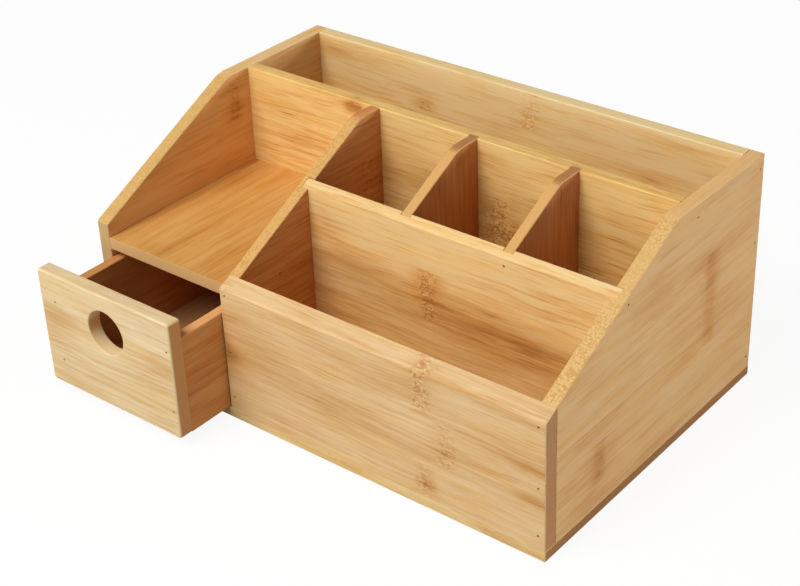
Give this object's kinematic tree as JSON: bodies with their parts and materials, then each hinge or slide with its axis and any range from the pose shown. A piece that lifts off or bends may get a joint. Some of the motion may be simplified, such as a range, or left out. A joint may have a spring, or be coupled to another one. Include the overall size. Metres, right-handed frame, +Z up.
{
  "type": "desk organizer",
  "caption": "Sloping bamboo desk organizer with an open tray over a pull-out drawer, a front compartment, a row of pockets and a full-width rear slot.",
  "frame": {"origin": "middle of the body's footprint, on the underside of the base board", "axes": "+X to the organizer's right as seen from the front, +Y to the back, +Z up"},
  "size_m": [0.305, 0.2337, 0.136],
  "materials": {
    "bamboo_board": "clear satin lacquer over sanded laminated bamboo",
    "bamboo_thin": "clear satin lacquer over sanded thin bamboo board",
    "drawer_panel": "thin carbonized bamboo panel, sealed",
    "brad_steel": "dull wire, set just below the surface"
  },
  "bodies": {
    "body": {"base_board": "bamboo_board", "left_side": "bamboo_board", "right_side": "bamboo_board", "back_board": "bamboo_board", "rear_divider": "bamboo_board", "partition": "bamboo_board", "drawer_shelf": "bamboo_board", "middle_divider": "bamboo_board", "pocket_divider_1": "bamboo_thin", "pocket_divider_2": "bamboo_thin", "front_panel": "bamboo_board", "front_panel_brads": "brad_steel", "left_side_brads": "brad_steel", "right_side_brads": "brad_steel", "rear_divider_brads": "brad_steel", "middle_divider_brads": "brad_steel", "partition_brads": "brad_steel", "base_brads": "brad_steel"},
    "drawer": {"drawer_front": "bamboo_board", "drawer_left_side": "bamboo_thin", "drawer_right_side": "bamboo_thin", "drawer_back": "bamboo_thin", "drawer_bottom": "drawer_panel", "drawer_front_brads": "brad_steel", "drawer_back_brads": "brad_steel"}
  },
  "joints": [
    {"name": "drawer_slide", "type": "slide", "parent": "body", "child": "drawer", "axis": [0, -1, 0], "range_m": [-0.0369, 0.042]}
  ]
}
